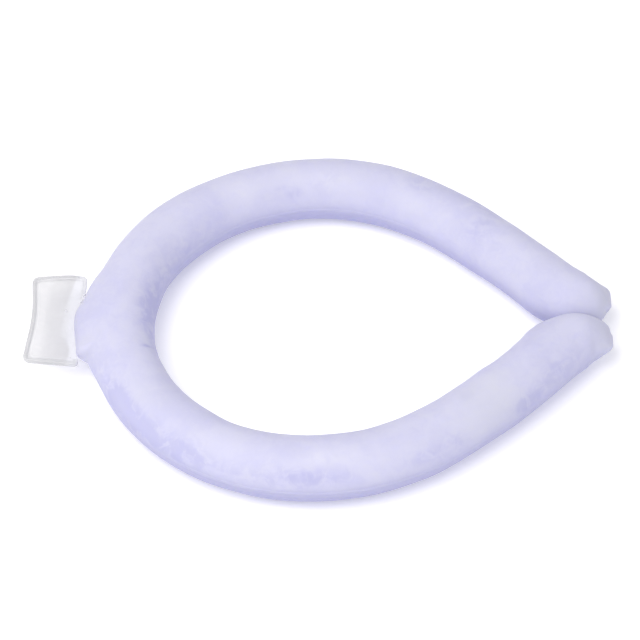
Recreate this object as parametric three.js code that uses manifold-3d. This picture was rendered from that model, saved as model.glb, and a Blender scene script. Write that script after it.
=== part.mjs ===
// A cooling neck ring: a gel-filled tube of soft film, bent into an open ring whose two tips
// press together, with a flat welded tab at the nape. Millimetres, +Z up, resting on Z = 0.
// +X points from the nape to the tips, and the arm on the +Y side is the far arm.
import * as THREE from "three";
import { mergeVertices } from "three/addons/utils/BufferGeometryUtils.js";
import Module from "manifold-3d";

const wasm = await Module();
wasm.setup();

// Sizes of the tube
const RING_LENGTH = 167; // from the back of the nape to the tips, without the filling neck
const RING_WIDTH = 141; // over both arms
const TUBE_DIAMETER = 20;
const FILM_WALL = 1;
const TIP_DEPTH = 3.4; // of the closed end beyond the last section
const CLEARANCE = 0.3; // between pieces, and between the two tips

// Sizes of the filling neck, the low bump at the nape
const NECK_WIDTH = 22;
const NECK_REACH = 5;

// Sizes of the tab and of the tongue that closes the filling slot
const TAB_LENGTH = 37.6; // across the nape
const TAB_REACH = 14.5; // away from the neck
const TAB_SHIFT = 1.5; // towards the far side, from the middle of the neck
const TAB_THICKNESS = 1;
const TAB_CORNER = 2.6;
const TAB_WAIST = 1.3; // how far the outer edge curves in
const RIM_WIDTH = 1.1;
const RIM_THICKNESS = 1.8;
const TONGUE_WIDTH = 8;
const TONGUE_THICKNESS = 0.7;

// Fineness of the faceted shapes
const TUBE_SIDES = 20;
const ARM_STEP = 9;
const DETAIL_STEP = 2;
const DETAIL_SPAN = 20; // length of tube with the small step, at the nape and at each tip

const tubeRadius = TUBE_DIAMETER / 2;
const centreLength = RING_LENGTH - TUBE_DIAMETER;
const centreHalfWidth = (RING_WIDTH - TUBE_DIAMETER) / 2;

// The middle line of the tube, from the far tip round the nape to the near tip.
// along: share of the middle line's length, from nape to tips
// across: share of its half width, positive on the far side
// girth: share of the tube's radius
const SECTIONS = [
  { along: 1.044, across: 0.116, girth: 0.6 },
  { along: 1.02, across: 0.122, girth: 0.8 },
  { along: 0.989, across: 0.14, girth: 0.94 },
  { along: 0.955, across: 0.195, girth: 0.98 },
  { along: 0.9, across: 0.332, girth: 0.985 },
  { along: 0.803, across: 0.562, girth: 0.99 },
  { along: 0.705, across: 0.764, girth: 0.99 },
  { along: 0.595, across: 0.914, girth: 0.995 },
  { along: 0.488, across: 0.982, girth: 1.0 },
  { along: 0.378, across: 0.981, girth: 0.99 },
  { along: 0.272, across: 0.914, girth: 0.985 },
  { along: 0.18, across: 0.793, girth: 1.01 },
  { along: 0.099, across: 0.613, girth: 1.035 },
  { along: 0.037, across: 0.383, girth: 1.045 },
  { along: 0.005, across: 0.119, girth: 1.045 },
  { along: 0.0, across: -0.079, girth: 1.035 },
  { along: 0.01, across: -0.278, girth: 1.03 },
  { along: 0.053, across: -0.524, girth: 1.005 },
  { along: 0.12, across: -0.731, girth: 1.0 },
  { along: 0.22, across: -0.906, girth: 0.99 },
  { along: 0.326, across: -0.994, girth: 0.995 },
  { along: 0.437, across: -1.011, girth: 1.0 },
  { along: 0.541, across: -0.964, girth: 0.995 },
  { along: 0.646, across: -0.848, girth: 0.985 },
  { along: 0.741, across: -0.678, girth: 0.995 },
  { along: 0.839, across: -0.473, girth: 0.985 },
  { along: 0.918, across: -0.27, girth: 0.99 },
  { along: 0.955, across: -0.178, girth: 0.98 },
  { along: 0.985, across: -0.127, girth: 0.95 },
  { along: 1.012, across: -0.111, girth: 0.84 },
  { along: 1.038, across: -0.111, girth: 0.62 },
];

// The filling neck's outline, smooth on the far side and steep on the near side.
// place: share of the neck's half width from its middle, positive on the far side
// reach: share of the neck's reach
const NECK_OUTLINE = [
  { place: -1.6, reach: 0 },
  { place: -1.25, reach: 0.1 },
  { place: -1.08, reach: 0.3 },
  { place: -0.93, reach: 0.76 },
  { place: -0.7, reach: 0.82 },
  { place: -0.2, reach: 0.9 },
  { place: 0.2, reach: 0.97 },
  { place: 0.5, reach: 1.0 },
  { place: 0.7, reach: 0.75 },
  { place: 0.9, reach: 0.36 },
  { place: 1.15, reach: 0.15 },
  { place: 1.7, reach: 0.1 },
  { place: 2.3, reach: 0 },
];
// How quickly the neck thins from its root towards its weld, as a power
const NECK_NARROWING = 2;

// Height at which the middle of a tapering tip stays, as a share of the tube's radius
const TIP_LEVEL = 0.98;

// The closed end of each tip, blunt with a small flat.
// depth: share of the tip's depth beyond the last section
// girth: share of that section's radius
const TIP_PROFILE = [
  { depth: 0.5, girth: 0.8 },
  { depth: 1.0, girth: 0.45 },
  { depth: 1.04, girth: 0 },
];

// The tab's corners in order round the tab.
// reach: share of the tab's reach, from its root outwards
// across: share of the tab's length, positive on the far side
const TAB_CORNERS = [
  { reach: -0.19, across: 0.505 },
  { reach: 0.98, across: 0.465 },
  { reach: 1.05, across: -0.47 },
  { reach: -0.13, across: -0.515 },
];

function tableValue(rows, key, column, at) {
  if (at <= rows[0][key]) return rows[0][column];
  for (let i = 1; i < rows.length; i += 1) {
    const before = rows[i - 1];
    const after = rows[i];
    if (at <= after[key]) {
      const share = (at - before[key]) / (after[key] - before[key]);
      return THREE.MathUtils.lerp(before[column], after[column], share);
    }
  }
  return rows[rows.length - 1][column];
}

// The middle line holds the place in X and Y, and the radius as its third value
function middleLine() {
  const points = SECTIONS.map((row) => new THREE.Vector3(
    row.along * centreLength,
    row.across * centreHalfWidth,
    row.girth * tubeRadius,
  ));
  return new THREE.CatmullRomCurve3(points, false, "centripetal");
}

// Share of the middle line at its lowest X, the back of the nape
function napeShare(curve, samples = 400) {
  let best = 0;
  for (let i = 0; i <= samples; i += 1) {
    if (curve.getPointAt(i / samples).x < curve.getPointAt(best).x) best = i / samples;
  }
  return best;
}

// Lengths along the middle line where a section stands: close together at the nape and the tips
function sectionPlaces(length, nape) {
  const places = [0];
  let last = 0;
  while (last < length) {
    const next = last + ARM_STEP / 2;
    const detailed = [0, nape, length].some((spot) => Math.abs(next - spot) < DETAIL_SPAN);
    last += detailed ? DETAIL_STEP : ARM_STEP;
    places.push(last);
  }
  return places.map((place) => (place * length) / last);
}

function sectionAt(curve, share) {
  const point = curve.getPointAt(share);
  const ahead = curve.getTangentAt(share);
  const forward = new THREE.Vector3(ahead.x, ahead.y, 0).normalize();
  return {
    centre: new THREE.Vector3(point.x, point.y, Math.max(point.z, TIP_LEVEL * tubeRadius)),
    forward,
    outward: new THREE.Vector3(forward.y, -forward.x, 0),
    radius: point.z,
    neck: 0,
  };
}

// Sections of the whole tube, from the far tip to the near tip
function tubeSections() {
  const curve = middleLine();
  const length = curve.getLength();
  const nape = napeShare(curve) * length;
  return sectionPlaces(length, nape).map((place) => {
    const section = sectionAt(curve, Math.min(place / length, 1));
    const neckShare = (nape - place) / (NECK_WIDTH / 2);
    section.neck = NECK_REACH * tableValue(NECK_OUTLINE, "place", "reach", neckShare);
    return section;
  });
}

// The closed end beyond a section, as smaller sections; side is -1 before it and 1 after it
function endSections(section, side, inset) {
  return TIP_PROFILE.map((row) => ({
    ...section,
    centre: section.centre.clone()
      .addScaledVector(section.forward, side * row.depth * (TIP_DEPTH - inset)),
    radius: row.girth * (section.radius - inset),
  }));
}

// A tip stops at the plane between the two arms, where the other tip presses against it
function stopAtMiddlePlane(point, arm, inset) {
  const limit = CLEARANCE / 2 + inset;
  point.y = arm * Math.max(arm * point.y, limit);
  return point;
}

// A point on a section's outline; the angle starts at the outer side and turns upwards
function sectionPoint(section, angle) {
  const sideways = Math.cos(angle);
  const neck = sideways > 0 ? section.neck * sideways ** NECK_NARROWING : 0;
  return section.centre.clone()
    .addScaledVector(section.outward, sideways * section.radius + neck)
    .add(new THREE.Vector3(0, 0, Math.sin(angle) * section.radius));
}

const sections = tubeSections();
const isTip = (point) => point.x > centreLength / 2;

// The tube's surface moved in by the inset, as a closed solid
function tubeSolid(inset) {
  const first = sections[0];
  const last = sections[sections.length - 1];
  const shrink = (section) => ({ ...section, radius: section.radius - inset });
  const rings = [
    ...endSections(first, -1, inset).reverse(),
    ...sections.map(shrink),
    ...endSections(last, 1, inset),
  ];
  const vertices = [];
  const triangles = [];
  const rows = rings.map((ring) => {
    const arm = Math.sign(ring.centre.y) || 1;
    const count = ring.radius > 0 ? TUBE_SIDES : 1;
    return Array.from({ length: count }, (_, i) => {
      const point = sectionPoint(ring, (i / TUBE_SIDES) * 2 * Math.PI);
      if (isTip(point)) stopAtMiddlePlane(point, arm, inset);
      vertices.push(point.x, point.y, point.z);
      return vertices.length / 3 - 1;
    });
  });
  for (let r = 1; r < rows.length; r += 1) {
    joinRows(rows[r - 1], rows[r], triangles);
  }
  return solidFrom(vertices, triangles);
}

// Triangles between two neighbouring rings of vertices, where a ring may be a single point
function joinRows(before, after, triangles) {
  for (let i = 0; i < TUBE_SIDES; i += 1) {
    const j = (i + 1) % TUBE_SIDES;
    const b = [before[i % before.length], before[j % before.length]];
    const a = [after[i % after.length], after[j % after.length]];
    if (before.length > 1) triangles.push(b[0], a[0], b[1]);
    if (after.length > 1) triangles.push(b[1], a[0], a[1]);
  }
}

function solidFrom(vertices, triangles) {
  const mesh = new wasm.Mesh({
    numProp: 3,
    vertProperties: new Float32Array(vertices),
    triVerts: new Uint32Array(triangles),
  });
  return new wasm.Manifold(mesh);
}

function solidFromGeometry(geometry) {
  geometry.deleteAttribute("normal");
  geometry.deleteAttribute("uv");
  const merged = mergeVertices(geometry);
  return solidFrom(merged.attributes.position.array, merged.index.array);
}

function geometryFrom(solid) {
  const mesh = solid.getMesh();
  const geometry = new THREE.BufferGeometry();
  geometry.setAttribute("position", new THREE.BufferAttribute(mesh.vertProperties, 3));
  geometry.setIndex(new THREE.BufferAttribute(mesh.triVerts, 1));
  geometry.computeVertexNormals();
  return geometry;
}

// Where the tab meets the ring: the neck's outermost point, level with the tab's middle
function tabRoot() {
  const points = sections.map((section) => sectionPoint(section, 0));
  const tip = points.reduce((best, point) => (point.x < best.x ? point : best));
  const nape = sections.reduce((best, section) => (section.centre.x < best.centre.x ? section : best));
  return new THREE.Vector3(tip.x, nape.centre.y + TAB_SHIFT, nape.centre.z);
}

const root = tabRoot();

// The tab's outline moved in by the inset, in the tab's own plane
function tabOutline(inset) {
  const corners = TAB_CORNERS.map((row) => new THREE.Vector2(
    -row.reach * TAB_REACH,
    row.across * TAB_LENGTH,
  ));
  const moved = corners.map((corner, i) => insetCorner(corners, i, inset));
  return roundedOutline(moved, TAB_CORNER - inset);
}

// A corner moved in by the same distance from both of its edges
function insetCorner(corners, i, inset) {
  const count = corners.length;
  const before = corners[(i + count - 1) % count].clone().sub(corners[i]).normalize();
  const after = corners[(i + 1) % count].clone().sub(corners[i]).normalize();
  const half = Math.acos(before.dot(after)) / 2;
  const inward = before.clone().add(after).normalize();
  return corners[i].clone().addScaledVector(inward, inset / Math.sin(half));
}

// Rounded corners joined by edges; the two long edges curve in by the waist
function roundedOutline(corners, radius) {
  const shape = new THREE.Shape();
  corners.forEach((corner, i) => {
    const before = corners[(i + corners.length - 1) % corners.length];
    const after = corners[(i + 1) % corners.length];
    const start = corner.clone().add(before.clone().sub(corner).setLength(radius));
    const end = corner.clone().add(after.clone().sub(corner).setLength(radius));
    if (i === 0) shape.moveTo(start.x, start.y);
    else edgeTo(shape, start, i % 2 === 0 ? TAB_WAIST : 0);
    shape.quadraticCurveTo(corner.x, corner.y, end.x, end.y);
  });
  shape.closePath();
  return shape;
}

// The edge to a point, curved towards the ring by the depth
function edgeTo(shape, end, depth) {
  const start = shape.currentPoint;
  const middle = start.clone().add(end).multiplyScalar(0.5);
  shape.quadraticCurveTo(middle.x + 2 * depth, middle.y, end.x, end.y);
}

function slab(shape, thickness) {
  const geometry = new THREE.ExtrudeGeometry(shape, {
    depth: thickness,
    bevelEnabled: false,
    curveSegments: 8,
  });
  geometry.translate(root.x, root.y, tabHeight - thickness / 2);
  return solidFromGeometry(geometry);
}

// A flat block through the neck's wall at the tab's root, grown by a clearance on all sides
function tongueBlock(clearance) {
  const length = 4 * FILM_WALL + NECK_REACH;
  const geometry = new THREE.BoxGeometry(
    length,
    TONGUE_WIDTH + 2 * clearance,
    TONGUE_THICKNESS + 2 * clearance,
  );
  geometry.translate(root.x + 2 * FILM_WALL - length / 2, root.y, tabHeight);
  return solidFromGeometry(geometry);
}

const tabHeight = root.z;
const film = tubeSolid(0);
const cavity = tubeSolid(FILM_WALL);

function skinSolid() {
  return film.subtract(cavity).subtract(tongueBlock(CLEARANCE));
}

function coreSolid() {
  return tubeSolid(FILM_WALL + CLEARANCE);
}

function tabSolid() {
  const rimShape = tabOutline(0);
  rimShape.holes.push(tabOutline(RIM_WIDTH));
  const rim = slab(rimShape, RIM_THICKNESS);
  const panel = slab(tabOutline(RIM_WIDTH / 2), TAB_THICKNESS);
  const tongue = tongueBlock(0).subtract(cavity);
  return rim.add(panel).subtract(tubeSolid(-CLEARANCE)).add(tongue);
}

function addPiece(group, name, solid, look) {
  const mesh = new THREE.Mesh(geometryFrom(solid), new THREE.MeshStandardMaterial(look));
  mesh.name = name;
  group.add(mesh);
}

const group = new THREE.Group();
addPiece(group, "skin", skinSolid(), { color: 0xd6d5f2, roughness: 0.45, metalness: 0 });
addPiece(group, "cooling_core", coreSolid(), { color: 0xc6c4ec, roughness: 0.7, metalness: 0 });
addPiece(group, "clear_tab", tabSolid(), {
  color: 0xeceef0,
  roughness: 0.15,
  metalness: 0,
  transparent: true,
  opacity: 0.45,
});

// The origin is the middle of the base
const box = new THREE.Box3().setFromObject(group);
const middle = box.getCenter(new THREE.Vector3());
group.position.set(-middle.x, -middle.y, -box.min.z);

export default group;
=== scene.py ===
"""The looks of a cooling neck ring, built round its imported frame: the soft film tube with its
weld seam, filling neck and blunt tips, the gel inside it, and the clear welded tab.

Metres, +Z up. +X points from the nape to the two tips, and +Y to the far arm.
"""
import math

import bpy
import numpy as np
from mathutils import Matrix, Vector


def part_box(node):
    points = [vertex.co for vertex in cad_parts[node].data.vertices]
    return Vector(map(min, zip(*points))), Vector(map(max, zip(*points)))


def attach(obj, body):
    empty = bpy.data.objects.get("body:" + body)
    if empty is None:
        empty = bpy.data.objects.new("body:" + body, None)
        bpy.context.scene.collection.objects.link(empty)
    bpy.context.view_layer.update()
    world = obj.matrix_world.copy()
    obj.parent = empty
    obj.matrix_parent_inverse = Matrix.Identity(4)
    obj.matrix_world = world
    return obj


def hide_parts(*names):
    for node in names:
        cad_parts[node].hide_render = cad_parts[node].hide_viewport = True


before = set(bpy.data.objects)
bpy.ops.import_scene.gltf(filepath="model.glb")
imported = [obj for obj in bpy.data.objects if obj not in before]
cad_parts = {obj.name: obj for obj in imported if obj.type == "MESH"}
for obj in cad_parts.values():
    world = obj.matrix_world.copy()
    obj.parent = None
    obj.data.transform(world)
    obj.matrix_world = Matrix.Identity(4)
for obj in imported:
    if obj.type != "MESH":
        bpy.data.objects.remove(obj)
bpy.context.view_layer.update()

MM = 0.001

# Sizes of the tube
RING_LENGTH = 167.3 * MM
RING_WIDTH = 141.3 * MM
TUBE_RADIUS = 10.15 * MM
FILM_WALL = 1 * MM
CLEARANCE = 0.3 * MM  # between pieces, and between the two tips
TIP_LEVEL = 0.98  # height at which a tapering tip stays, as a share of the tube's radius
LEAST_REACH = 0.2 * MM  # of an inner face at a tip
CENTRE_LENGTH = RING_LENGTH - 2 * TUBE_RADIUS
CENTRE_HALF_WIDTH = RING_WIDTH / 2 - TUBE_RADIUS

# The middle line of the tube, from the far tip round the nape to the near tip.
# along: share of the middle line's length, from nape to tips
# across: share of its half width, positive on the far side
# girth: share of the tube's radius
SECTIONS = [
    {"along": 1.0677, "across": 0.116, "girth": 0.94},
    {"along": 1.044, "across": 0.116, "girth": 0.94},
    {"along": 1.02, "across": 0.122, "girth": 0.94},
    {"along": 0.989, "across": 0.14, "girth": 0.94},
    {"along": 0.955, "across": 0.195, "girth": 0.98},
    {"along": 0.9, "across": 0.332, "girth": 0.985},
    {"along": 0.803, "across": 0.562, "girth": 0.99},
    {"along": 0.705, "across": 0.764, "girth": 0.99},
    {"along": 0.595, "across": 0.914, "girth": 0.995},
    {"along": 0.488, "across": 0.982, "girth": 1.0},
    {"along": 0.378, "across": 0.981, "girth": 0.99},
    {"along": 0.272, "across": 0.914, "girth": 0.985},
    {"along": 0.18, "across": 0.793, "girth": 1.01},
    {"along": 0.099, "across": 0.613, "girth": 1.035},
    {"along": 0.037, "across": 0.383, "girth": 1.045},
    {"along": 0.005, "across": 0.119, "girth": 1.045},
    {"along": 0.0, "across": -0.079, "girth": 1.035},
    {"along": 0.01, "across": -0.278, "girth": 1.03},
    {"along": 0.053, "across": -0.524, "girth": 1.005},
    {"along": 0.12, "across": -0.731, "girth": 1.0},
    {"along": 0.22, "across": -0.906, "girth": 0.99},
    {"along": 0.326, "across": -0.994, "girth": 0.995},
    {"along": 0.437, "across": -1.011, "girth": 1.0},
    {"along": 0.541, "across": -0.964, "girth": 0.995},
    {"along": 0.646, "across": -0.848, "girth": 0.985},
    {"along": 0.741, "across": -0.678, "girth": 0.995},
    {"along": 0.839, "across": -0.473, "girth": 0.985},
    {"along": 0.918, "across": -0.27, "girth": 0.99},
    {"along": 0.955, "across": -0.178, "girth": 0.98},
    {"along": 0.985, "across": -0.127, "girth": 0.94},
    {"along": 1.012, "across": -0.111, "girth": 0.94},
    {"along": 1.038, "across": -0.111, "girth": 0.94},
    {"along": 1.064, "across": -0.111, "girth": 0.94},
]

# The closed end of each tip, where the film is drawn together to a short weld.
# back: distance from the end, as a share of the tube's radius
# outer, inner: reach to the ring's outer and inner side, and height: half height, as shares of it
FAR_TIP = [
    {"back": 0.0, "outer": 0.5, "inner": 0.1, "height": 0.035},
    {"back": 0.03, "outer": 0.61, "inner": 0.13, "height": 0.07},
    {"back": 0.06, "outer": 0.655, "inner": 0.17, "height": 0.14},
    {"back": 0.1, "outer": 0.685, "inner": 0.21, "height": 0.22},
    {"back": 0.16, "outer": 0.7, "inner": 0.29, "height": 0.31},
    {"back": 0.245, "outer": 0.69, "inner": 0.44, "height": 0.46},
    {"back": 0.33, "outer": 0.68, "inner": 0.57, "height": 0.56},
    {"back": 0.46, "outer": 0.68, "inner": 0.72, "height": 0.7},
    {"back": 0.7, "outer": 0.75, "inner": 0.8, "height": 0.86},
    {"back": 1.16, "outer": 0.93, "inner": 0.94, "height": 0.95},
    {"back": 1.6, "outer": 0.97, "inner": 0.99, "height": 0.96},
    {"back": 2.0, "outer": 0.975, "inner": 1.06, "height": 0.97},
    {"back": 2.5, "outer": 0.98, "inner": 1.05, "height": 0.98},
    {"back": 3.0, "outer": 0.985, "inner": 1.0, "height": 0.985},
    {"back": 3.6, "outer": 0.985, "inner": 0.985, "height": 0.985},
]
NEAR_TIP = [
    {"back": 0.0, "outer": 0.4, "inner": 0.03, "height": 0.035},
    {"back": 0.03, "outer": 0.47, "inner": 0.06, "height": 0.08},
    {"back": 0.055, "outer": 0.52, "inner": 0.13, "height": 0.12},
    {"back": 0.08, "outer": 0.55, "inner": 0.32, "height": 0.17},
    {"back": 0.11, "outer": 0.57, "inner": 0.4, "height": 0.22},
    {"back": 0.16, "outer": 0.595, "inner": 0.44, "height": 0.3},
    {"back": 0.25, "outer": 0.63, "inner": 0.48, "height": 0.42},
    {"back": 0.36, "outer": 0.665, "inner": 0.5, "height": 0.54},
    {"back": 0.5, "outer": 0.735, "inner": 0.51, "height": 0.66},
    {"back": 0.7, "outer": 0.8, "inner": 0.55, "height": 0.79},
    {"back": 0.9, "outer": 0.87, "inner": 0.6, "height": 0.9},
    {"back": 1.16, "outer": 0.955, "inner": 0.745, "height": 0.95},
    {"back": 1.4, "outer": 0.985, "inner": 0.86, "height": 0.96},
    {"back": 1.9, "outer": 1.0, "inner": 1.04, "height": 0.97},
    {"back": 2.3, "outer": 1.0, "inner": 1.06, "height": 0.98},
    {"back": 2.7, "outer": 0.995, "inner": 1.0, "height": 0.985},
    {"back": 3.3, "outer": 0.985, "inner": 0.985, "height": 0.985},
]

# Sizes of the filling neck, the low bump at the nape
NECK_WIDTH = 22 * MM
NECK_REACH = 5 * MM
NECK_SOFTNESS = 0.4 * MM
# place: share of the neck's half width from its middle, positive on the far side
# reach: share of the neck's reach
NECK_OUTLINE = [
    {"place": -2.1, "reach": 0},
    {"place": -1.6, "reach": 0.06},
    {"place": -1.25, "reach": 0.21},
    {"place": -1.13, "reach": 0.26},
    {"place": -1.05, "reach": 0.3},
    {"place": -1.01, "reach": 0.42},
    {"place": -0.96, "reach": 0.84},
    {"place": -0.9, "reach": 0.9},
    {"place": -0.7, "reach": 0.84},
    {"place": -0.4, "reach": 0.89},
    {"place": -0.1, "reach": 0.95},
    {"place": 0.1, "reach": 0.98},
    {"place": 0.31, "reach": 0.97},
    {"place": 0.46, "reach": 0.83},
    {"place": 0.53, "reach": 0.7},
    {"place": 0.62, "reach": 0.62},
    {"place": 0.78, "reach": 0.57},
    {"place": 1.02, "reach": 0.48},
    {"place": 1.42, "reach": 0.28},
    {"place": 1.65, "reach": 0.11},
    {"place": 2.1, "reach": 0},
]
# How quickly the neck thins from its root towards its weld, as a power, and how much more so at
# its near end, where it is a thin lip that comes in between two places
NECK_NARROWING = 3
LIP_NARROWING = 6
LIP_PLACES = (-0.2, -0.8)

# The weld seam along the tube's middle height, a flat bead between two fine grooves
SEAM_HALF_WIDTH = 0.42 * MM
SEAM_HEIGHT = 0.13 * MM
GROOVE_PLACE = 0.75 * MM
GROOVE_WIDTH = 0.24 * MM
GROOVE_DEPTH = 0.09 * MM
# How far the seam stands out. along: share of the middle line from the far tip
SEAM_STRENGTH = [
    {"along": 0.0, "stands": 0},
    {"along": 0.12, "stands": 0.1},
    {"along": 0.21, "stands": 1},
    {"along": 0.36, "stands": 1},
    {"along": 0.46, "stands": 0.15},
    {"along": 0.57, "stands": 0.15},
    {"along": 0.66, "stands": 1},
    {"along": 0.79, "stands": 1},
    {"along": 0.89, "stands": 0.1},
    {"along": 1.0, "stands": 0},
]

# Fineness of the meshes. The steps are those between stations on the arms, those between stations
# where the form is fine, and the distance from the tube's end to its first station.
FILM_SIDES = 124
FILM_STEPS = (1.05 * MM, 0.42 * MM, 0)
LINING_SIDES = 40
LINING_STEPS = (2.4 * MM, 1.2 * MM, 2.5 * MM)
CORE_SIDES = 56
CORE_STEPS = (1.8 * MM, 1.0 * MM, 3.2 * MM)
SEAM_CROWDING = 0.62  # how much closer the sides stand at the seam
LEAST_STEP = 0.6  # at a tip's end, in fine steps
STEP_GROWTH = 3  # of the step over the spread length, in fine steps
SPREAD_LENGTH = 12 * MM
NECK_EASE = 2  # at the neck the stations stand as they do this far from a tip, in fine steps

EASING_WIDTHS = 3  # how far the rounding of a corner reaches


def column(rows, name):
    return np.array([row[name] for row in rows], float)


def reading(rows, key, name, at):
    """A table's column at other values of its key, by straight lines between rows."""
    return np.interp(at, column(rows, key), column(rows, name))


def eased(values, step, width):
    """Values along a line with their corners rounded over a width, the ends kept."""
    reach = int(math.ceil(EASING_WIDTHS * width / step))
    weights = np.exp(-0.5 * (np.arange(-reach, reach + 1) * step / width) ** 2)
    weights /= weights.sum()
    before = 2 * values[0] - values[reach:0:-1]
    after = 2 * values[-1] - values[-2:-reach - 2:-1]
    padded = np.concatenate([before, values, after])
    return np.convolve(padded, weights, "valid")


def eased_step(values, start, end):
    """0 up to the start and 1 from the end, eased between them."""
    share = np.clip((values - start) / (end - start), 0, 1)
    return share * share * (3 - 2 * share)


def curve_through(points, count):
    """A centripetal Catmull-Rom curve through points, with count places on each span."""
    ends = [2 * points[0] - points[1]], [2 * points[-1] - points[-2]]
    knots = np.concatenate([ends[0], points, ends[1]])
    share = np.linspace(0, 1, count, endpoint=False)[:, None]
    spans = []
    for i in range(1, len(knots) - 2):
        a, b, c, d = knots[i - 1:i + 3]
        before, middle, after = (math.sqrt(np.linalg.norm(q - p)) for p, q in ((a, b), (b, c), (c, d)))
        leave = (b - a) / before - (c - a) / (before + middle) + (c - b) / middle
        arrive = (c - b) / middle - (d - b) / (middle + after) + (d - c) / after
        leave, arrive = leave * middle, arrive * middle
        spans.append(
            b + leave * share
            + (3 * (c - b) - 2 * leave - arrive) * share ** 2
            + (2 * (b - c) + leave + arrive) * share ** 3
        )
    return np.concatenate([*spans, points[-1:]])


class MiddleLine:
    """The tube's middle line, read at distances from the far tip."""

    STEP = 0.1 * MM
    SOFTNESS = 2.5 * MM
    SPAN_POINTS = 200  # on the curve between two sections

    def __init__(self):
        rows = np.stack([
            column(SECTIONS, "along") * CENTRE_LENGTH,
            column(SECTIONS, "across") * CENTRE_HALF_WIDTH,
            column(SECTIONS, "girth") * TUBE_RADIUS,
        ], axis=1)
        curve = curve_through(rows, self.SPAN_POINTS)
        run = np.concatenate([[0], np.cumsum(np.linalg.norm(np.diff(curve[:, :2], axis=0), axis=1))])
        self.at = np.arange(0, run[-1], self.STEP)
        self.length = self.at[-1]
        columns = [np.interp(self.at, run, curve[:, i]) for i in range(3)]
        self.x, self.y, self.radius = (eased(c, self.STEP, self.SOFTNESS) for c in columns)
        self.nape = self.at[np.argmin(self.x)]
        heading = np.unwrap(np.arctan2(np.gradient(self.y), np.gradient(self.x)))
        self.heading = eased(heading, self.STEP, self.SOFTNESS)
        self.neck = self.neck_reach()

    def neck_reach(self):
        """How far the filling neck stands out of the tube, along the line."""
        place = (self.nape - self.at) / (NECK_WIDTH / 2)
        reach = NECK_REACH * reading(NECK_OUTLINE, "place", "reach", place)
        return eased(reach, self.STEP, NECK_SOFTNESS)

    def read(self, name, at):
        return np.interp(at, self.at, getattr(self, name))


LINE = MiddleLine()


def seat():
    """Where the nape's middle stands in the frame: tips, arms and floor as the skin's node has them."""
    low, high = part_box("skin")
    side = np.sin(LINE.heading + math.pi / 2) * LINE.radius
    widest = max((LINE.y + np.abs(side)).max(), 0)
    narrowest = min((LINE.y - np.abs(side)).min(), 0)
    return Vector((
        high.x - LINE.x.max(),
        (low.y + high.y) / 2 - (widest + narrowest) / 2,
        low.z,
    ))


SEAT = seat()


def stations(arm_step, fine_step, ends_at):
    """Distances along the line, closer together at the tips and at the filling neck."""
    places = [ends_at]
    while places[-1] < LINE.length - ends_at:
        here = places[-1]
        to_tip = min(here, LINE.length - here)
        to_neck = max(abs(here - LINE.nape) - NECK_WIDTH, 0)
        spread = min(to_tip, to_neck + NECK_EASE * fine_step) / SPREAD_LENGTH
        places.append(here + min(arm_step, fine_step * (LEAST_STEP + STEP_GROWTH * spread)))
    places = np.array(places)
    share = (places - places[0]) / (places[-1] - places[0])
    return ends_at + share * (LINE.length - 2 * ends_at)


def tip_form(at):
    """Reach outwards, reach inwards and half height of the tube at distances along the line."""
    girth = LINE.read("radius", at)
    outer, inner, height = girth.copy(), girth.copy(), girth.copy()
    for rows, back in ((FAR_TIP, at), (NEAR_TIP, LINE.length - at)):
        near = back < rows[-1]["back"] * TUBE_RADIUS
        key = back[near] / TUBE_RADIUS
        outer[near] = reading(rows, "back", "outer", key) * TUBE_RADIUS
        inner[near] = reading(rows, "back", "inner", key) * TUBE_RADIUS
        height[near] = reading(rows, "back", "height", key) * TUBE_RADIUS
    return outer, inner, height


def turns(sides):
    """Angles round the tube from its outer side upwards, closer together at the two seams."""
    even = np.arange(sides) / sides * 2 * math.pi
    return even - SEAM_CROWDING / 2 * np.sin(2 * even)


def seam_profile(off):
    """Height of the weld bead at a distance from the middle of the seam."""
    bead = SEAM_HEIGHT * np.exp(-(off / SEAM_HALF_WIDTH) ** 4)
    groove = GROOVE_DEPTH * np.exp(-((np.abs(off) - GROOVE_PLACE) / GROOVE_WIDTH) ** 2)
    return bead - groove


# Slow swells of the soft film: waves along the tube, waves round it, height and starting angle
SWELLS = [
    {"along": 5, "round": 1, "height": 0.10 * MM, "start": 0.4},
    {"along": 11, "round": 2, "height": 0.07 * MM, "start": 2.1},
    {"along": 17, "round": 1, "height": 0.06 * MM, "start": 4.4},
    {"along": 26, "round": 3, "height": 0.035 * MM, "start": 1.3},
    {"along": 41, "round": 2, "height": 0.02 * MM, "start": 3.2},
]

# A crease and two fuller places of the film. along: share of the line from the far tip. turn:
# degrees from the outer side upwards. length, width: in millimetres, along and round. depth: in
# millimetres, inwards, and outwards below 0. slant: degrees from the tube's direction. tone: how
# much deeper its colour is, which is painted shade in the crease's fold.
DENTS = [
    # painted shade: the crease's tone darkens its fold
    {"along": 0.5455, "turn": 131, "length": 1.9, "width": 0.55, "depth": 0.25, "slant": -81, "tone": 2.6},
    {"along": 0.886, "turn": 140, "length": 5.2, "width": 7.0, "depth": -0.52, "slant": 0, "tone": 0},
    {"along": 0.82, "turn": 140, "length": 6.0, "width": 6.0, "depth": -0.2, "slant": 0, "tone": 0},
]


def swells(along, turn):
    """Height of the film's slow swells."""
    height = np.zeros(np.broadcast(along, turn).shape)
    for row in SWELLS:
        wave = np.sin(2 * math.pi * row["along"] * along + row["start"] + np.cos(row["round"] * turn))
        height += row["height"] * wave * np.cos(row["round"] * turn + row["start"])
    return height


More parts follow.
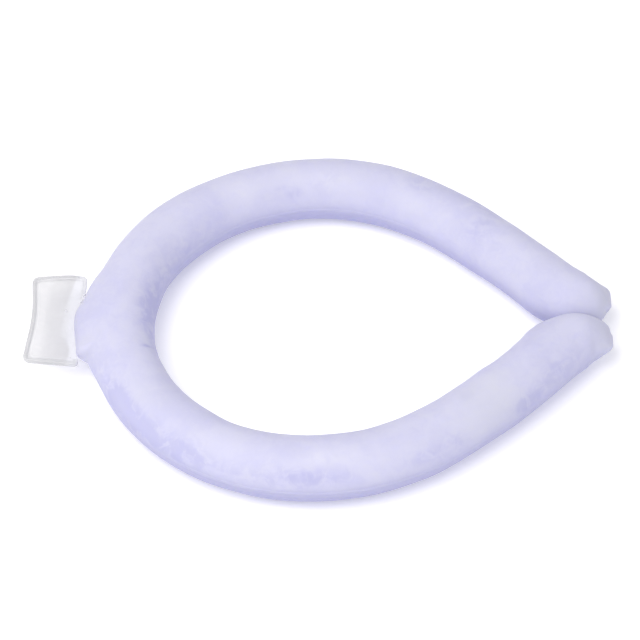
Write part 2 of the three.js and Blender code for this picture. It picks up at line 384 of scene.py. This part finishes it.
def spot(at, turn, row):
    """1 in the middle of a table's spot on the film, falling to 0 round it."""
    ahead = (at - row["along"] * LINE.length) / MM
    around = (turn - math.radians(row["turn"]) + math.pi) % (2 * math.pi) - math.pi
    around = around * TUBE_RADIUS / MM
    slant = math.radians(row.get("slant", 0))
    long_way = ahead * math.cos(slant) + around * math.sin(slant)
    short_way = around * math.cos(slant) - ahead * math.sin(slant)
    return np.exp(-(long_way / row["length"]) ** 2 - (short_way / row["width"]) ** 2)


TIP_FADE = 4 * MM  # over which the fine form fades out towards a tip's end


def relief(at, turn):
    """The film's fine form: seam, swells and dents, as a height outwards."""
    along = at / LINE.length
    off = np.sin(turn) * TUBE_RADIUS
    stands = reading(SEAM_STRENGTH, "along", "stands", along)
    height = seam_profile(off) * stands + swells(along, turn)
    for row in DENTS:
        height = height - row["depth"] * MM * spot(at, turn, row)
    fade = np.clip(np.minimum(at, LINE.length - at) / TIP_FADE, 0, 1)
    return height * fade


PRESS_SOFTNESS = 0.3 * MM


def press(y, arm, inset):
    """The two tips stop softly at the plane between them."""
    limit = CLEARANCE / 2 + inset
    past = (arm * y - limit) / PRESS_SOFTNESS
    return arm * (limit + PRESS_SOFTNESS * np.logaddexp(0, past))


def tube_points(at, turn, inset, with_relief):
    """Points of the tube's surface moved in by the inset, one row for each station."""
    outer, inner, height = (np.maximum(form - inset, LEAST_REACH)[:, None] for form in tip_form(at))
    heading = LINE.read("heading", at)[:, None]
    neck = LINE.read("neck", at)[:, None]
    place = (LINE.nape - at[:, None]) / (NECK_WIDTH / 2)
    narrowing = NECK_NARROWING + LIP_NARROWING * eased_step(place, *LIP_PLACES)
    at, turn = at[:, None], turn[None, :]
    sideways, upwards = np.cos(turn), np.sin(turn)
    lift = relief(at, turn) if with_relief else 0
    reach = np.where(sideways > 0, outer, inner) * sideways + lift * sideways
    reach = reach + neck * np.maximum(sideways, 0) ** narrowing
    x = LINE.read("x", at) + np.sin(heading) * reach
    y = LINE.read("y", at) - np.cos(heading) * reach
    middle = np.maximum(LINE.read("radius", at), TIP_LEVEL * TUBE_RADIUS)
    z = np.maximum(middle + (height + lift) * upwards, inset)
    y = y + SEAT.y
    arm = np.where(at < LINE.nape, 1, -1)
    y = np.where(x > CENTRE_LENGTH / 2, press(y, arm, inset), y)
    return np.stack([x + SEAT.x, y, z + SEAT.z], axis=-1)


def tube_faces(rows, sides, start, flip):
    """Quads between neighbouring rows, and a strip over each end."""
    quads = []
    for r in range(rows - 1):
        for i in range(sides):
            j = (i + 1) % sides
            low, high = start + r * sides, start + (r + 1) * sides
            quads.append((low + i, high + i, high + j, low + j))
    for row, side in ((0, 1), (rows - 1, -1)):
        base = start + row * sides
        for i in range(sides // 2):
            quad = [base + i, base + i + 1, base + (sides - i - 1), base + (sides - i) % sides]
            quad = list(dict.fromkeys(quad))
            quads.append(tuple(quad[::side]))
    return [quad[::-1] for quad in quads] if flip else quads


def new_object(name, points, faces):
    mesh = bpy.data.meshes.new(name)
    mesh.from_pydata([tuple(p) for p in points], [], faces)
    mesh.update()
    mesh.shade_smooth()
    piece = bpy.data.objects.new(name, mesh)
    bpy.context.scene.collection.objects.link(piece)
    return piece


def paint(piece, name, values):
    """A number for each of the mesh's points, which its material reads."""
    layer = piece.data.attributes.new(name, "FLOAT", "POINT")
    layer.data.foreach_set("value", np.asarray(values, np.float32).ravel())


# Cloudy patches in the gel, and painted shade on the nape's inner side. along, turn, length and width
# as for dents. tone: deeper lavender above 0 and paler below. grey: how much of the colour is lost.
CLOUDS_AND_SHADE = [
    {"along": 0.09, "turn": 126, "length": 7, "width": 4, "tone": 0.2, "grey": 0.1},
    {"along": 0.12, "turn": 104, "length": 4, "width": 4.5, "tone": 0.7, "grey": 0.1},
    {"along": 0.135, "turn": 60, "length": 9, "width": 2.5, "tone": 0.5, "grey": 0},
    {"along": 0.178, "turn": 134, "length": 11, "width": 4, "tone": -0.5, "grey": 0.2},
    {"along": 0.185, "turn": 88, "length": 4.5, "width": 2, "tone": 0.8, "grey": 0.3},
    {"along": 0.262, "turn": 118, "length": 13, "width": 6, "tone": -0.7, "grey": 0},
    {"along": 0.288, "turn": 141, "length": 3, "width": 1.8, "tone": 0.9, "grey": 0},
    {"along": 0.303, "turn": 128, "length": 2, "width": 1.2, "tone": 0.5, "grey": 0},
    {"along": 0.333, "turn": 113, "length": 5, "width": 5, "tone": -0.6, "grey": 0},
    # painted shade: the next two rows darken the nape's inner side, which is turned from the light
    {"along": 0.42, "turn": 160, "length": 20, "width": 3.5, "tone": 0.5, "grey": 0},
    {"along": 0.506, "turn": 158, "length": 16, "width": 4.5, "tone": 3.0, "grey": 0},
    {"along": 0.529, "turn": 176, "length": 2.6, "width": 2.2, "tone": 0.7, "grey": 0.3},
    {"along": 0.535, "turn": 136, "length": 4, "width": 2.5, "tone": -0.6, "grey": 0.2},
    {"along": 0.56, "turn": 172, "length": 5, "width": 3.5, "tone": 0.5, "grey": 0.35},
    {"along": 0.581, "turn": 27, "length": 4.5, "width": 2.8, "tone": 6, "grey": 0.1},
    {"along": 0.588, "turn": 68, "length": 7, "width": 4, "tone": -0.2, "grey": 0.35},
    {"along": 0.606, "turn": 22, "length": 18, "width": 3.5, "tone": 2.2, "grey": 0.1},
    {"along": 0.62, "turn": 55, "length": 24, "width": 8, "tone": 0.1, "grey": 0.15},
    {"along": 0.641, "turn": 34, "length": 6, "width": 2.2, "tone": 0.8, "grey": 0.1},
    {"along": 0.669, "turn": 71, "length": 11, "width": 4, "tone": -0.3, "grey": 0},
    {"along": 0.692, "turn": 22, "length": 8, "width": 1.8, "tone": 0.4, "grey": 0},
    {"along": 0.721, "turn": 33, "length": 10, "width": 2.8, "tone": 1.0, "grey": 0},
    {"along": 0.736, "turn": 66, "length": 9, "width": 3, "tone": -0.7, "grey": 0},
    {"along": 0.79, "turn": 62, "length": 9, "width": 4, "tone": -0.4, "grey": 0},
    {"along": 0.805, "turn": 30, "length": 7, "width": 2.4, "tone": 0.6, "grey": 0},
    {"along": 0.827, "turn": 33, "length": 4, "width": 2.6, "tone": 0.5, "grey": 0},
    {"along": 0.852, "turn": 92, "length": 2.6, "width": 2, "tone": 0.6, "grey": 0.5},
    {"along": 0.862, "turn": 52, "length": 12, "width": 7, "tone": -0.2, "grey": 0.9},
    {"along": 0.88, "turn": 96, "length": 8, "width": 4, "tone": -0.2, "grey": 0.5},
    {"along": 0.894, "turn": 20, "length": 4.5, "width": 2.2, "tone": 2.4, "grey": 0.1},
    {"along": 0.93, "turn": 30, "length": 9, "width": 4, "tone": 0.6, "grey": 0},
]


TIP_GREY_AND_SHADE_REACH = 8 * MM  # how far the tips' greyer film reaches, partly the film's own grey and partly painted shade
SEAM_TINT_WIDTH = 0.8 * MM
UNDER_SHADE_RANGE = (0.5, -0.5)  # heights between which the painted shade on the tube's lower side comes in, in radii
NECK_PALENESS = 0.75  # how much of the painted shade below the tube is missing at the neck


def skin_tints(at, turn):
    """The values that the film's material reads, one row for each station of its outer face."""
    at, turn = np.meshgrid(at, turn, indexing="ij")
    rows = CLOUDS_AND_SHADE + DENTS
    spots = [spot(at, turn, row) for row in rows]
    back = np.minimum(at, LINE.length - at)
    upwards = np.sin(turn)
    outer_side = np.cos(turn) > 0
    stands = reading(SEAM_STRENGTH, "along", "stands", at / LINE.length)
    by_neck = eased_step(np.abs(at - LINE.nape), NECK_WIDTH, NECK_WIDTH / 2)
    return {
        # cloudy patches, with painted shade at the nape's inner side and in the crease
        "cloud_and_shade": sum(row["tone"] * here for row, here in zip(rows, spots)),
        "grey": sum(row["grey"] * here for row, here in zip(CLOUDS_AND_SHADE, spots)),
        # greyer towards each tip's end: partly the film's own grey, partly painted shade
        "tip": np.exp(-(back / TIP_GREY_AND_SHADE_REACH) ** 2),
        "seam": np.exp(-(upwards * TUBE_RADIUS / SEAM_TINT_WIDTH) ** 4) * stands,
        # painted shade: deeper lavender on the tube's lower side, less at the neck
        "under_shade": eased_step(upwards, *UNDER_SHADE_RANGE) * (1 - NECK_PALENESS * by_neck * outer_side),
    }


def make_skin():
    """The film tube: a fine outer face, and a coarser lining one wall further in."""
    at, turn = stations(*FILM_STEPS), turns(FILM_SIDES)
    outside = tube_points(at, turn, 0, True)
    lining_at, lining_turn = stations(*LINING_STEPS), turns(LINING_SIDES)
    inside = tube_points(lining_at, lining_turn, FILM_WALL, False)
    faces = tube_faces(len(at), FILM_SIDES, 0, False)
    faces += tube_faces(len(lining_at), LINING_SIDES, len(at) * FILM_SIDES, True)
    points = np.concatenate([outside.reshape(-1, 3), inside.reshape(-1, 3)])
    piece = new_object("film_skin", points, faces)
    lining = np.zeros(len(lining_at) * LINING_SIDES)
    for name, values in skin_tints(at, turn).items():
        paint(piece, name, np.concatenate([values.ravel(), lining]))
    return piece


def make_core():
    """The gel: one closed tube inside the film."""
    at, turn = stations(*CORE_STEPS), turns(CORE_SIDES)
    points = tube_points(at, turn, FILM_WALL + CLEARANCE, False)
    return new_object("gel_core", points.reshape(-1, 3), tube_faces(len(at), CORE_SIDES, 0, False))


# The clear tab's outline in order round it, from its corner beside the ring on the far side.
# out: share of the way out from the ring, and across: share of the way from the near side to the
# far side, both of the tab's box. rounding: in millimetres. rim: how far its rim stands there.
TAB_CORNERS = [
    {"out": -0.03, "across": 0.997, "rounding": 1.7, "rim": 0.45},
    {"out": 0.27, "across": 1.018, "rounding": 3.0, "rim": 0.9},
    {"out": 0.972, "across": 0.99, "rounding": 2.9, "rim": 1},
    {"out": 0.9, "across": 0.56, "rounding": 7, "rim": 1},
    {"out": 1.02, "across": 0.035, "rounding": 2.9, "rim": 1},
    {"out": 0.02, "across": -0.016, "rounding": 1.7, "rim": 0.8},
    {"out": 0.03, "across": 0.1, "rounding": 2.2, "rim": 0},
    {"out": 0.115, "across": 0.46, "rounding": 4, "rim": 0},
    {"out": 0.06, "across": 0.67, "rounding": 2.2, "rim": 0},
    {"out": -0.03, "across": 0.85, "rounding": 2.2, "rim": 0.35},
]
CORNER_POINTS = 9
EDGE_POINTS = 12
LEAST_ROUNDING = 0.8 * MM

# The tab from its edge inwards: a rim of two ridges, then the flat panel.
# inset: from the edge, and ridge: half thickness where the rim stands fully, both in millimetres.
# tone: how grey the film's bent surface looks there, painted shade for the light that the bend turns
# aside.
TAB_PROFILE = [
    {"inset": 0.0, "ridge": 0.3, "tone": 0.5},
    {"inset": 0.1, "ridge": 0.6, "tone": 0.7},
    {"inset": 0.27, "ridge": 0.82, "tone": 0.65},
    {"inset": 0.45, "ridge": 0.86, "tone": 0.5},
    {"inset": 0.65, "ridge": 0.76, "tone": 0.5},
    {"inset": 0.85, "ridge": 0.74, "tone": 0.75},
    {"inset": 1.05, "ridge": 0.8, "tone": 0.95},
    {"inset": 1.25, "ridge": 0.76, "tone": 0.8},
    {"inset": 1.45, "ridge": 0.56, "tone": 0.35},
    {"inset": 1.65, "ridge": 0.43, "tone": 0.05},
    {"inset": 2.0, "ridge": 0.4, "tone": 0.0},
    {"inset": 2.2, "ridge": 0.42, "tone": 0.2},
    {"inset": 2.4, "ridge": 0.4, "tone": 0.0},
]
TAB_PANEL = 0.4 * MM  # half thickness of the panel
PANEL_RINGS = 20
LAST_RING = 0.02  # size of the ring of points at the panel's middle, as a share of the panel's

# The panel's grey window, whose side towards the ring curves in. across: share of the tab's box.
# from, to: where the window starts beside the ring and where it ends, as shares of the way out.
WINDOW_EDGE = [
    {"across": 0.03, "from": 0.24, "to": 0.71},
    {"across": 0.09, "from": 0.2, "to": 0.7},
    {"across": 0.17, "from": 0.2, "to": 0.69},
    {"across": 0.26, "from": 0.25, "to": 0.675},
    {"across": 0.35, "from": 0.36, "to": 0.665},
    {"across": 0.44, "from": 0.4, "to": 0.655},
    {"across": 0.55, "from": 0.37, "to": 0.645},
    {"across": 0.7, "from": 0.3, "to": 0.64},
    {"across": 0.82, "from": 0.24, "to": 0.62},
    {"across": 0.97, "from": 0.17, "to": 0.59},
]
WINDOW_SOFTNESS = 0.025

# Small beads of weld flash between the tab and the ring, and a speck on the panel.
# size: radius, and lift: above the tab's middle height, both in millimetres
BEADS = [
    {"out": -0.005, "across": 0.782, "size": 0.45, "lift": 0.6},
    {"out": 0.005, "across": 0.735, "size": 0.55, "lift": 0.6},
    {"out": 0.045, "across": 0.7, "size": 0.35, "lift": 0.6},
    {"out": 0.31, "across": 0.6, "size": 0.3, "lift": 0.35},
]
BEAD_SIDES = 14


def tab_place(out, across):
    """A place in the tab's plane from shares of the box that the tab's node fills."""
    low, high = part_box("clear_tab")
    return np.array([high.x + (low.x - high.x) * out, low.y + (high.y - low.y) * across])


def inset_corner(corners, i, inset):
    """A corner of a polygon moved in by the same distance from both of its edges."""
    before = corners[i - 1] - corners[i]
    after = corners[(i + 1) % len(corners)] - corners[i]
    before, after = before / np.linalg.norm(before), after / np.linalg.norm(after)
    inwards = np.array([-after[1], after[0]]) + np.array([before[1], -before[0]])
    return corners[i] + inset * inwards / (1 - float(np.dot(before, after)))


def towards(start, end, distance):
    return start + (end - start) / np.linalg.norm(end - start) * distance


def points_between(start, end):
    share = np.linspace(0, 1, EDGE_POINTS + 2)[1:-1, None]
    return start + (end - start) * share


def tab_outline(inset):
    """Points round the tab's outline moved in by the inset."""
    corners = [tab_place(row["out"], row["across"]) for row in TAB_CORNERS]
    corners = [inset_corner(corners, i, inset) for i in range(len(corners))]
    share = np.linspace(0, 1, CORNER_POINTS)[:, None]
    bends = []
    for i, row in enumerate(TAB_CORNERS):
        rounding = max(row["rounding"] * MM - inset / 2, LEAST_ROUNDING)
        corner = corners[i]
        start = towards(corner, corners[i - 1], rounding)
        end = towards(corner, corners[(i + 1) % len(corners)], rounding)
        bends.append(start * (1 - share) ** 2 + 2 * corner * share * (1 - share) + end * share ** 2)
    outline = []
    for bend, after in zip(bends, bends[1:] + bends[:1]):
        outline += [bend, points_between(bend[-1], after[0])]
    return np.concatenate(outline)


def rim_share():
    """How fully the rim stands at each point of the outline."""
    rims = column(TAB_CORNERS, "rim")
    shares = []
    for here, after in zip(rims, np.roll(rims, -1)):
        shares.append(np.full(CORNER_POINTS, here))
        shares.append(np.linspace(here, after, EDGE_POINTS + 2)[1:-1])
    return np.concatenate(shares)


def ring_faces(count, total, start, flip):
    """Quads between rings of points that run inwards, and one face over the last ring."""
    faces = []
    for r in range(total - 1):
        for i in range(count):
            j = (i + 1) % count
            outer, inner = start + r * count, start + (r + 1) * count
            faces.append((outer + i, outer + j, inner + j, inner + i))
    faces.append(tuple(start + (total - 1) * count + i for i in range(count)))
    return [face[::-1] for face in faces] if flip else faces


def tab_rings():
    """The tab's outline moved in step by step to its middle, with half thickness and tone, the rim's
    painted shade.
    """
    rim = rim_share()
    flat, half, tone = [], [], []
    for row in TAB_PROFILE:
        plain = min(row["ridge"] * MM, TAB_PANEL)
        flat.append(tab_outline(row["inset"] * MM))
        half.append(plain + (row["ridge"] * MM - plain) * rim)
        tone.append(row["tone"] * rim)
    panel = flat[-1]
    middle = panel.mean(axis=0)
    for share in np.linspace(1, LAST_RING, PANEL_RINGS + 1)[1:]:
        flat.append(middle + (panel - middle) * share)
        half.append(np.full(len(rim), TAB_PANEL))
        tone.append(np.zeros(len(rim)))
    return np.stack(flat), np.stack(half), np.stack(tone)


def window_and_out(flat):
    """1 on the panel's grey window and 0 outside it, and the share of the way out from the ring."""
    low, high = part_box("clear_tab")
    out = (high.x - flat[..., 0]) / (high.x - low.x)
    across = (flat[..., 1] - low.y) / (high.y - low.y)
    start = reading(WINDOW_EDGE, "across", "from", across)
    end = reading(WINDOW_EDGE, "across", "to", across)
    inner = eased_step(out, start - WINDOW_SOFTNESS, start + WINDOW_SOFTNESS)
    outer = eased_step(out, end + WINDOW_SOFTNESS, end - WINDOW_SOFTNESS)
    return inner * outer, out


def bead(row, level):
    """A small ball as points and faces, from its pole downwards."""
    x, y = tab_place(row["out"], row["across"])
    radius = row["size"] * MM
    down = np.linspace(0, math.pi, BEAD_SIDES // 2 + 1)[1:-1, None]
    round_way = np.arange(BEAD_SIDES) / BEAD_SIDES * 2 * math.pi
    ball = np.stack([
        x + radius * np.sin(down) * np.cos(round_way),
        y + radius * np.sin(down) * np.sin(round_way),
        level + row["lift"] * MM + radius * np.cos(down) + 0 * round_way,
    ], axis=-1).reshape(-1, 3)
    rows = len(down)
    faces = [tuple(range(BEAD_SIDES))]
    for r in range(rows - 1):
        for i in range(BEAD_SIDES):
            j = (i + 1) % BEAD_SIDES
            upper, lower = r * BEAD_SIDES, (r + 1) * BEAD_SIDES
            faces.append((upper + i, lower + i, lower + j, upper + j))
    faces.append(tuple((rows - 1) * BEAD_SIDES + i for i in reversed(range(BEAD_SIDES))))
    return ball, faces


def make_tab():
    """The welded tab: rings of points from its edge to its middle, on its upper and lower face."""
    flat, half, tone = tab_rings()
    total, count = half.shape
    low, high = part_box("clear_tab")
    level = (low.z + high.z) / 2
    upper = np.dstack([flat, level + half]).reshape(-1, 3)
    lower = np.dstack([flat, level - half]).reshape(-1, 3)
    points = [upper, lower]
    faces = ring_faces(count, total, 0, False) + ring_faces(count, total, count * total, True)
    for i in range(count):
        j = (i + 1) % count
        faces.append((j, i, count * total + i, count * total + j))
    for row in BEADS:
        ball, ball_faces = bead(row, level)
        start = sum(len(part) for part in points)
        faces += [tuple(start + i for i in face) for face in ball_faces]
        points.append(ball)
    tab = new_object("welded_tab", np.concatenate(points), faces)
    window, out = window_and_out(flat)
    tints = {"rim": tone, "window": window, "out": out, "bead": np.zeros(half.shape)}
    beads = np.zeros(sum(len(part) for part in points[2:]))
    for name, values in tints.items():
        on_beads = beads + 1 if name == "bead" else beads
        paint(tab, name, np.concatenate([values.ravel(), values.ravel(), on_beads]))
    return tab


def srgb(red, green, blue):
    """A screen colour of 0 to 255 as the linear colour that a shader takes."""
    linear = [c / 12.92 if c <= 0.04045 else ((c + 0.055) / 1.055) ** 2.4
              for c in (red / 255, green / 255, blue / 255)]
    return (*linear, 1)


class Nodes:
    """A material's node tree with short calls for the nodes used here."""

    def __init__(self, name):
        self.material = bpy.data.materials.new(name)
        self.material.use_nodes = True
        self.tree = self.material.node_tree
        self.shader = self.tree.nodes["Principled BSDF"]

    def add(self, kind, settings=None, **inputs):
        node = self.tree.nodes.new(kind)
        for key, value in (settings or {}).items():
            setattr(node, key, value)
        for key, value in inputs.items():
            self.put(node.inputs[key.replace("_", " ")], value)
        return node

    def put(self, socket, value):
        if isinstance(value, bpy.types.NodeSocket):
            self.tree.links.new(value, socket)
        else:
            socket.default_value = value

    def math(self, operation, a, b):
        node = self.tree.nodes.new("ShaderNodeMath")
        node.operation = operation
        self.put(node.inputs[0], a)
        self.put(node.inputs[1], b)
        return node.outputs[0]

    def scaled(self, value, factor):
        return self.math("MULTIPLY", value, factor)

    def total(self, first, *others):
        for other in others:
            first = self.math("ADD", first, other)
        return first

    def mix(self, share, a, b):
        node = self.tree.nodes.new("ShaderNodeMix")
        node.data_type = "RGBA"
        self.put(node.inputs["Factor"], share)
        self.put(node.inputs["A"], a)
        self.put(node.inputs["B"], b)
        return node.outputs["Result"]

    def span(self, value, low, high):
        """0 at low and 1 at high, eased between them."""
        node = self.add("ShaderNodeMapRange", {"interpolation_type": "SMOOTHSTEP"},
                        Value=value, From_Min=low, From_Max=high)
        return node.outputs[0]

    def noise(self, size, detail=3.0, roughness=0.5, warp=0.0):
        """Noise in the object's own space, with features of about the size."""
        place = self.add("ShaderNodeTexCoord").outputs["Object"]
        node = self.add("ShaderNodeTexNoise", Vector=place, Scale=1 / size, Detail=detail,
                        Roughness=roughness, Distortion=warp)
        return node.outputs["Fac"]

    def painted(self, name):
        return self.add("ShaderNodeAttribute", {"attribute_name": name}).outputs["Fac"]

    def set(self, **inputs):
        for key, value in inputs.items():
            self.put(self.shader.inputs[key.replace("_", " ")], value)

    def bump(self, height, distance):
        node = self.add("ShaderNodeBump", Height=height, Distance=distance)
        self.set(Normal=node.outputs[0])


# Colours of the film, as on a screen. paint: the painted value that brings a tint in, and share:
# how much of it.
FILM_PALE = (213, 213, 232)
FILM_DEEP = (185, 185, 221)
FILM_TINTS = [
    {"paint": "grey", "share": 0.7, "colour": (207, 208, 221)},
    # painted shade: deeper lavender on the tube's lower side, where less light falls
    {"paint": "under_shade", "share": 0.8, "colour": (158, 158, 200)},
    # greyer, darker towards each tip's end: partly the film's own grey, partly painted shade
    {"paint": "tip", "share": 0.6, "colour": (196, 197, 215)},
    {"paint": "seam", "share": 0.2, "colour": (188, 188, 214)},
]
# What the film's depth of colour is made of: a drift of wide and small noise, the cloudy patches
# and painted shade, which the small noise breaks up, and a fine grain. The ranges are those of noise that
# count.
WIDE_SHARE = 0.6
SMALL_SHARE = 0.4
DRIFT_RANGE = (0.38, 0.64)
DRIFT_STRENGTH = 0.35
PATCHY_RANGE = (0.34, 0.62)
PATCHY_GAIN = 1.1
PATCHY_LEAST = 0.35
CLOUD_AND_SHADE_STRENGTH = 0.55
NOISE_MIDDLE = 0.5
GRAIN_STRENGTH = 0.2
DEPTH_RANGE = (-0.7, 1.3)
FILM_ROUGHNESS = 0.46
GRAIN_ROUGHNESS = 0.12
SMALL_BUMP = 2  # height of the small noise's bumps, as a multiple of the grain's


def film_material():
    """Satin lavender film over cloudy gel, with painted shade below the tube, at the nape's inner side, in
    a crease and partly towards the tips.
    """
    n = Nodes("lavender_film")
    wide = n.noise(14 * MM, detail=2.5, warp=0.6)
    small = n.noise(4 * MM, detail=4, roughness=0.6, warp=0.8)
    grain = n.noise(0.9 * MM, roughness=0.6)
    drift = n.total(n.scaled(wide, WIDE_SHARE), n.scaled(small, SMALL_SHARE))
    patchy = n.total(n.scaled(n.span(small, *PATCHY_RANGE), PATCHY_GAIN), PATCHY_LEAST)
    depth = n.total(
        n.scaled(n.span(drift, *DRIFT_RANGE), DRIFT_STRENGTH),
        # the cloudy patches, with painted shade at the nape's inner side and in the crease
        n.scaled(n.painted("cloud_and_shade"), n.scaled(patchy, CLOUD_AND_SHADE_STRENGTH)),
        n.scaled(n.math("SUBTRACT", grain, NOISE_MIDDLE), GRAIN_STRENGTH),
    )
    colour = n.mix(n.span(depth, *DEPTH_RANGE), srgb(*FILM_PALE), srgb(*FILM_DEEP))
    for row in FILM_TINTS:
        share = n.scaled(n.painted(row["paint"]), row["share"])
        colour = n.mix(share, colour, srgb(*row["colour"]))
    roughness = n.total(FILM_ROUGHNESS, n.scaled(grain, GRAIN_ROUGHNESS))
    n.set(Base_Color=colour, Roughness=roughness, Specular_IOR_Level=0.2)
    n.set(Subsurface_Weight=0.35, Subsurface_Radius=(0.6, 0.6, 1.0), Subsurface_Scale=2 * MM)
    n.bump(n.total(grain, n.scaled(small, SMALL_BUMP)), 0.03 * MM)
    return n.material


GEL_DEEP = (206, 205, 240)
GEL_PALE = (226, 226, 248)
MIDDLE_RANGE = (0.35, 0.65)  # of noise, for the gel's clouds and the clear film's streaks


def gel_material():
    """Cloudy gel, which shows only where the film is cut open."""
    n = Nodes("cloudy_gel")
    wide = n.noise(9 * MM, detail=4, roughness=0.6, warp=1.0)
    colour = n.mix(n.span(wide, *MIDDLE_RANGE), srgb(*GEL_DEEP), srgb(*GEL_PALE))
    n.set(Base_Color=colour, Roughness=0.6, Subsurface_Weight=0.4, Subsurface_Scale=2 * MM)
    n.bump(n.noise(2 * MM), 0.1 * MM)
    return n.material


# The clear film's colour and its tints, in the order in which they are laid on. cover: how much
# of what is behind the film they hide.
CLEAR_COLOUR = (214, 214, 217)
CLEAR_COVER = 0.37
STREAK_COVER = 0.03
MILKY_RANGE = (0.45, 0.15)  # share of the way out from the ring
CLEAR_TINTS = [
    {"part": "milky", "colour": (234, 235, 240), "cover": 0.1},
    {"part": "window", "colour": (211, 211, 214), "cover": 0.05},
    # painted shade along the bent rim
    {"part": "rim", "colour": (191, 192, 195), "cover": 0.3},
    {"part": "bead", "colour": (236, 236, 242), "cover": 0.4},
]


def clear_material():
    """Clear film: greyer where the rim bends it, as painted shade, and in the window, milky towards the
    ring.
    """
    n = Nodes("clear_film")
    streaks = n.noise(6 * MM, detail=2, warp=0.8)
    parts = {name: n.painted(name) for name in ("window", "rim", "bead")}
    parts["milky"] = n.span(n.painted("out"), *MILKY_RANGE)
    colour = srgb(*CLEAR_COLOUR)
    cover = n.total(CLEAR_COVER, n.scaled(n.span(streaks, *MIDDLE_RANGE), STREAK_COVER))
    for row in CLEAR_TINTS:
        share = parts[row["part"]]
        colour = n.mix(share, colour, srgb(*row["colour"]))
        cover = n.total(cover, n.scaled(share, row["cover"]))
    n.set(Base_Color=colour, Alpha=cover, Roughness=0.3)
    n.bump(streaks, 0.06 * MM)
    return n.material


# The studio: a pale table lit softly from below, which lightens the shadows on it, a large soft
# light above and to the left, and a weaker one in front
FLOOR_SIZE = 6.0
FLOOR_COLOUR = (248, 248, 249)
TABLE_GLOW = 0.22
WORLD_STRENGTH = 0.58
WORLD_COLOUR = (0.95, 0.95, 1.0, 1)
LIGHTS = [
    {"name": "key", "at": (-0.42, -0.33, 1.0), "size": 0.9, "power": 9.4, "colour": (1.0, 0.98, 0.94)},
    {"name": "fill", "at": (0.6, -0.6, 0.7), "size": 0.8, "power": 1.5, "colour": (0.95, 0.95, 1.0)},
]

# The camera: the photo's tilt and framing
TILT = math.radians(47.5)
DISTANCE = 902.7 * MM
LENS = 158.68  # for the usual sensor of 36 mm
AIM = Vector((0.04, 0.92, 10.2)) * MM


def make_floor():
    half = FLOOR_SIZE / 2
    corners = [(-half, -half, 0), (half, -half, 0), (half, half, 0), (-half, half, 0)]
    floor = new_object("floor", corners, [(0, 1, 2, 3)])
    n = Nodes("pale_floor")
    n.set(Base_Color=srgb(*FLOOR_COLOUR), Roughness=0.9)
    n.set(Emission_Color=(1, 1, 1, 1), Emission_Strength=TABLE_GLOW)
    floor.data.materials.append(n.material)


def make_lights():
    for row in LIGHTS:
        data = bpy.data.lights.new(row["name"], "AREA")
        data.size = row["size"]
        data.energy = row["power"]
        data.color = row["colour"]
        light = bpy.data.objects.new(row["name"], data)
        light.location = row["at"]
        light.rotation_euler = (-light.location).to_track_quat("-Z", "Y").to_euler()
        bpy.context.scene.collection.objects.link(light)


def make_world():
    world = bpy.data.worlds.new("studio")
    world.use_nodes = True
    background = world.node_tree.nodes["Background"]
    background.inputs["Color"].default_value = WORLD_COLOUR
    background.inputs["Strength"].default_value = WORLD_STRENGTH
    bpy.context.scene.world = world
    bpy.context.scene.view_settings.view_transform = "Standard"


def make_camera():
    data = bpy.data.cameras.new("camera")
    data.lens = LENS
    camera = bpy.data.objects.new("camera", data)
    camera.location = AIM + DISTANCE * Vector((0, -math.cos(TILT), math.sin(TILT)))
    camera.rotation_euler = (math.pi / 2 - TILT, 0, 0)
    bpy.context.scene.collection.objects.link(camera)
    bpy.context.scene.camera = camera


def dress(piece, material, slot, *nodes):
    """A piece's material, the record's slot, which is not used, and what it stands for."""
    piece.data.materials.append(material)
    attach(piece, "root")
    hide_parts(*nodes)


skin = make_skin()
dress(skin, film_material(), "film", "skin")
dress(make_core(), gel_material(), "gel", "cooling_core")
dress(make_tab(), clear_material(), "clear_film", "clear_tab")

make_floor()
make_lights()
make_world()
make_camera()
